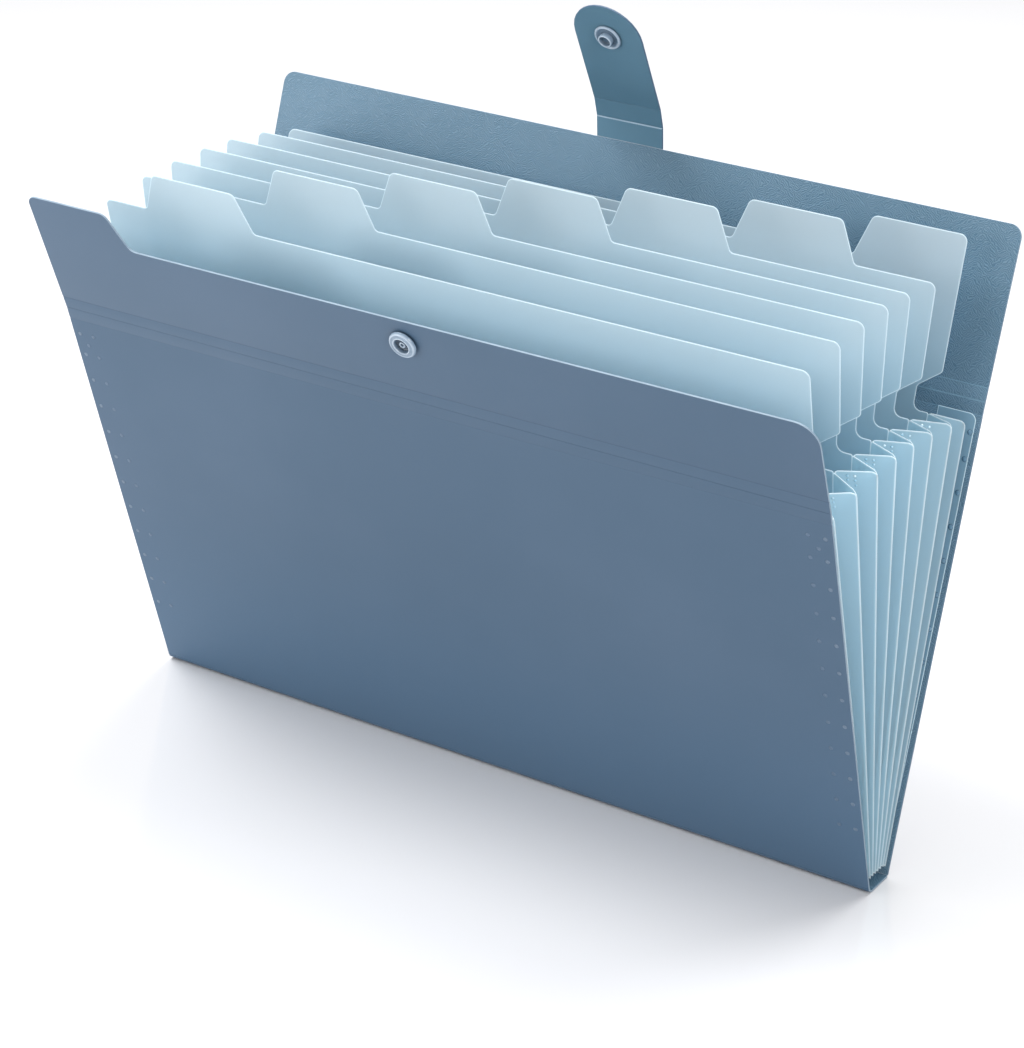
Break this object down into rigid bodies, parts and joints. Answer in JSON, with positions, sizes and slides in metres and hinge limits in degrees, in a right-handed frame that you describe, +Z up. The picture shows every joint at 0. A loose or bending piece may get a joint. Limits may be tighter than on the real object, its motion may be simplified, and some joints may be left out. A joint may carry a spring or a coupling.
{
  "type": "expanding file folder",
  "caption": "Landscape expanding file of thin plastic sheets: hinged covers, tabbed index dividers on folded side gussets, and a snap-closed strap; it stands open like a fan.",
  "frame": {"origin": "middle of the flat underside of the spine strip that the folder stands on", "axes": "+X runs along the width to the right of a person facing the front cover, the front cover faces -Y, +Z is up"},
  "size_m": [0.33, 0.1622, 0.2962],
  "materials": {
    "cover_sheet": "matte polypropylene sheet with a fine grain",
    "divider_sheet": "satin translucent polypropylene sheet",
    "gusset_film": "satin thin polypropylene film",
    "snap_plastic": "smooth moulded plastic"
  },
  "bodies": {
    "spine": {"spine_strip": "cover_sheet"},
    "front_cover": {"front_panel": "cover_sheet", "left_front_flange": "gusset_film", "right_front_flange": "gusset_film"},
    "front_lip": {"front_lip": "cover_sheet", "snap_socket": "snap_plastic", "snap_socket_cap": "snap_plastic"},
    "divider_1": {"divider_1": "divider_sheet", "left_pleat_1": "gusset_film", "right_pleat_1": "gusset_film"},
    "divider_2": {"divider_2": "divider_sheet", "left_pleat_2": "gusset_film", "right_pleat_2": "gusset_film"},
    "divider_3": {"divider_3": "divider_sheet", "left_pleat_3": "gusset_film", "right_pleat_3": "gusset_film"},
    "divider_4": {"divider_4": "divider_sheet", "left_pleat_4": "gusset_film", "right_pleat_4": "gusset_film"},
    "divider_5": {"divider_5": "divider_sheet", "left_pleat_5": "gusset_film", "right_pleat_5": "gusset_film"},
    "divider_6": {"divider_6": "divider_sheet", "left_pleat_6": "gusset_film", "right_pleat_6": "gusset_film"},
    "divider_7": {"divider_7": "divider_sheet", "left_pleat_7": "gusset_film", "right_pleat_7": "gusset_film"},
    "back_cover": {"back_panel": "cover_sheet", "left_back_flange": "gusset_film", "right_back_flange": "gusset_film", "left_pleat_8": "gusset_film", "right_pleat_8": "gusset_film"},
    "back_lip": {"back_lip": "cover_sheet"},
    "tongue_root": {"tongue_root": "cover_sheet"},
    "tongue_mid": {"tongue_mid": "cover_sheet"},
    "tongue_end": {"tongue_end": "cover_sheet", "snap_stud": "snap_plastic", "snap_stud_cap": "snap_plastic"}
  },
  "joints": [
    {"name": "back_cover_fold", "type": "hinge", "parent": "spine", "child": "back_cover", "pos_m": [0, 0.006, 0.0008], "axis": [1, 0, 0], "range_deg": [0, 16.62], "deforming": ["left_pleat_1", "left_pleat_2", "left_pleat_3", "left_pleat_4", "left_pleat_5", "left_pleat_6", "left_pleat_7", "left_pleat_8", "right_pleat_1", "right_pleat_2", "right_pleat_3", "right_pleat_4", "right_pleat_5", "right_pleat_6", "right_pleat_7", "right_pleat_8"]},
    {"name": "front_cover_fold", "type": "hinge", "parent": "spine", "child": "front_cover", "pos_m": [0, -0.00882, 0.00277], "axis": [1, 0, 0], "range_deg": [-18.37, 0]},
    {"name": "divider_1_fold", "type": "hinge", "parent": "spine", "child": "divider_1", "pos_m": [0, -0.00697, 0.0024], "axis": [1, 0, 0], "range_deg": [-13.48, 0]},
    {"name": "divider_2_fold", "type": "hinge", "parent": "spine", "child": "divider_2", "pos_m": [0, -0.00511, 0.0024], "axis": [1, 0, 0], "range_deg": [-8.23, 0]},
    {"name": "divider_3_fold", "type": "hinge", "parent": "spine", "child": "divider_3", "pos_m": [0, -0.00326, 0.0024], "axis": [1, 0, 0], "range_deg": [-3.99, 0]},
    {"name": "divider_4_fold", "type": "hinge", "parent": "spine", "child": "divider_4", "pos_m": [0, -0.00141, 0.0024], "axis": [1, 0, 0], "range_deg": [0, 0.35]},
    {"name": "divider_5_fold", "type": "hinge", "parent": "spine", "child": "divider_5", "pos_m": [0, 0.00044, 0.0024], "axis": [1, 0, 0], "range_deg": [0, 4.44]},
    {"name": "divider_6_fold", "type": "hinge", "parent": "spine", "child": "divider_6", "pos_m": [0, 0.0023, 0.0024], "axis": [1, 0, 0], "range_deg": [0, 9.48]},
    {"name": "divider_7_fold", "type": "hinge", "parent": "spine", "child": "divider_7", "pos_m": [0, 0.00415, 0.0024], "axis": [1, 0, 0], "range_deg": [0, 14.53]},
    {"name": "front_lip_flex", "type": "hinge", "parent": "front_cover", "child": "front_lip", "pos_m": [0, -0.06506, 0.17534], "axis": [1, 0, 0], "range_deg": [-4, 0]},
    {"name": "back_lip_flex", "type": "hinge", "parent": "back_cover", "child": "back_lip", "pos_m": [0, 0.05695, 0.175], "axis": [1, 0, 0], "range_deg": [0, 2]},
    {"name": "tongue_fold", "type": "hinge", "parent": "back_lip", "child": "tongue_root", "pos_m": [0, 0.07627, 0.23686], "axis": [1, 0, 0], "range_deg": [-23, 41.86]},
    {"name": "tongue_roll", "type": "hinge", "parent": "tongue_root", "child": "tongue_mid", "pos_m": [0, 0.07553, 0.2454], "axis": [1, 0, 0], "range_deg": [-13, 44]},
    {"name": "tongue_tip", "type": "hinge", "parent": "tongue_mid", "child": "tongue_end", "pos_m": [0, 0.07306, 0.25301], "axis": [1, 0, 0], "range_deg": [-13.89, 47]}
  ],
  "couplings": [
    {"joint": "front_cover_fold", "follows": "back_cover_fold", "ratio": -1.1053},
    {"joint": "divider_1_fold", "follows": "back_cover_fold", "ratio": -0.81092},
    {"joint": "divider_2_fold", "follows": "back_cover_fold", "ratio": -0.49549},
    {"joint": "divider_3_fold", "follows": "back_cover_fold", "ratio": -0.24022},
    {"joint": "divider_4_fold", "follows": "back_cover_fold", "ratio": 0.021059},
    {"joint": "divider_5_fold", "follows": "back_cover_fold", "ratio": 0.2673},
    {"joint": "divider_6_fold", "follows": "back_cover_fold", "ratio": 0.5707},
    {"joint": "divider_7_fold", "follows": "back_cover_fold", "ratio": 0.8741},
    {"joint": "front_lip_flex", "follows": "back_cover_fold", "ratio": -0.24067},
    {"joint": "back_lip_flex", "follows": "back_cover_fold", "ratio": 0.12034},
    {"joint": "tongue_tip", "follows": "tongue_roll", "ratio": 1.0682}
  ]
}
